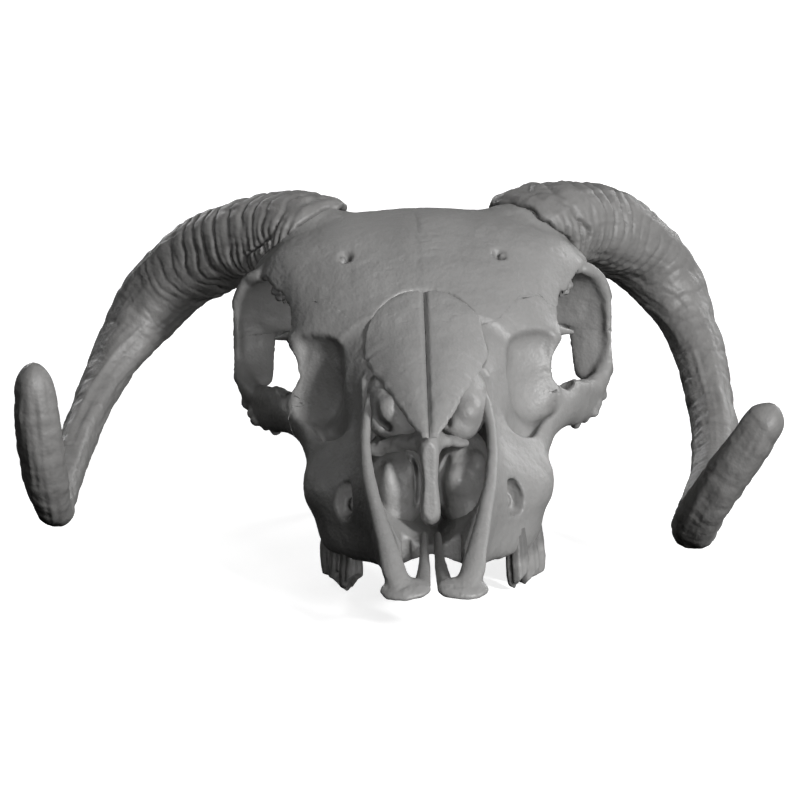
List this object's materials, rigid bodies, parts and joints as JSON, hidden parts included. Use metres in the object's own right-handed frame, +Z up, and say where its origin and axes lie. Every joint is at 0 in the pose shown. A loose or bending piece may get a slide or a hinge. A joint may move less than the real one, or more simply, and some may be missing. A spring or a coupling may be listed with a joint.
{
  "type": "goat skull",
  "caption": "Life-size goat skull without its lower jaw, with two thick ridged horns that curl back, down and forward to blunt tips.",
  "frame": {"origin": "middle of the skull's bounding box in plan, at the floor it rests on", "axes": "+X to the animal's left, +Y from the muzzle to the back of the head, +Z up"},
  "size_m": [0.2456, 0.2116, 0.1156],
  "materials": {
    "bone": "weathered grey bone, matte with a faint sheen on worn edges",
    "thin_bone": "thin matte bone inside the nose",
    "horn": "dull grey keratin, ridged and wrinkled"
  },
  "bodies": {
    "root": {"cranium": "bone", "maxilla_left": "bone", "maxilla_right": "bone", "zygomatic_left": "bone", "zygomatic_right": "bone", "incisive_left": "bone", "incisive_right": "bone", "nasal_left": "bone", "nasal_right": "bone", "dorsal_concha_left": "thin_bone", "dorsal_concha_right": "thin_bone", "ventral_concha_left": "thin_bone", "ventral_concha_right": "thin_bone", "vomer": "thin_bone", "horn_left": "horn", "horn_right": "horn"}
  },
  "joints": []
}
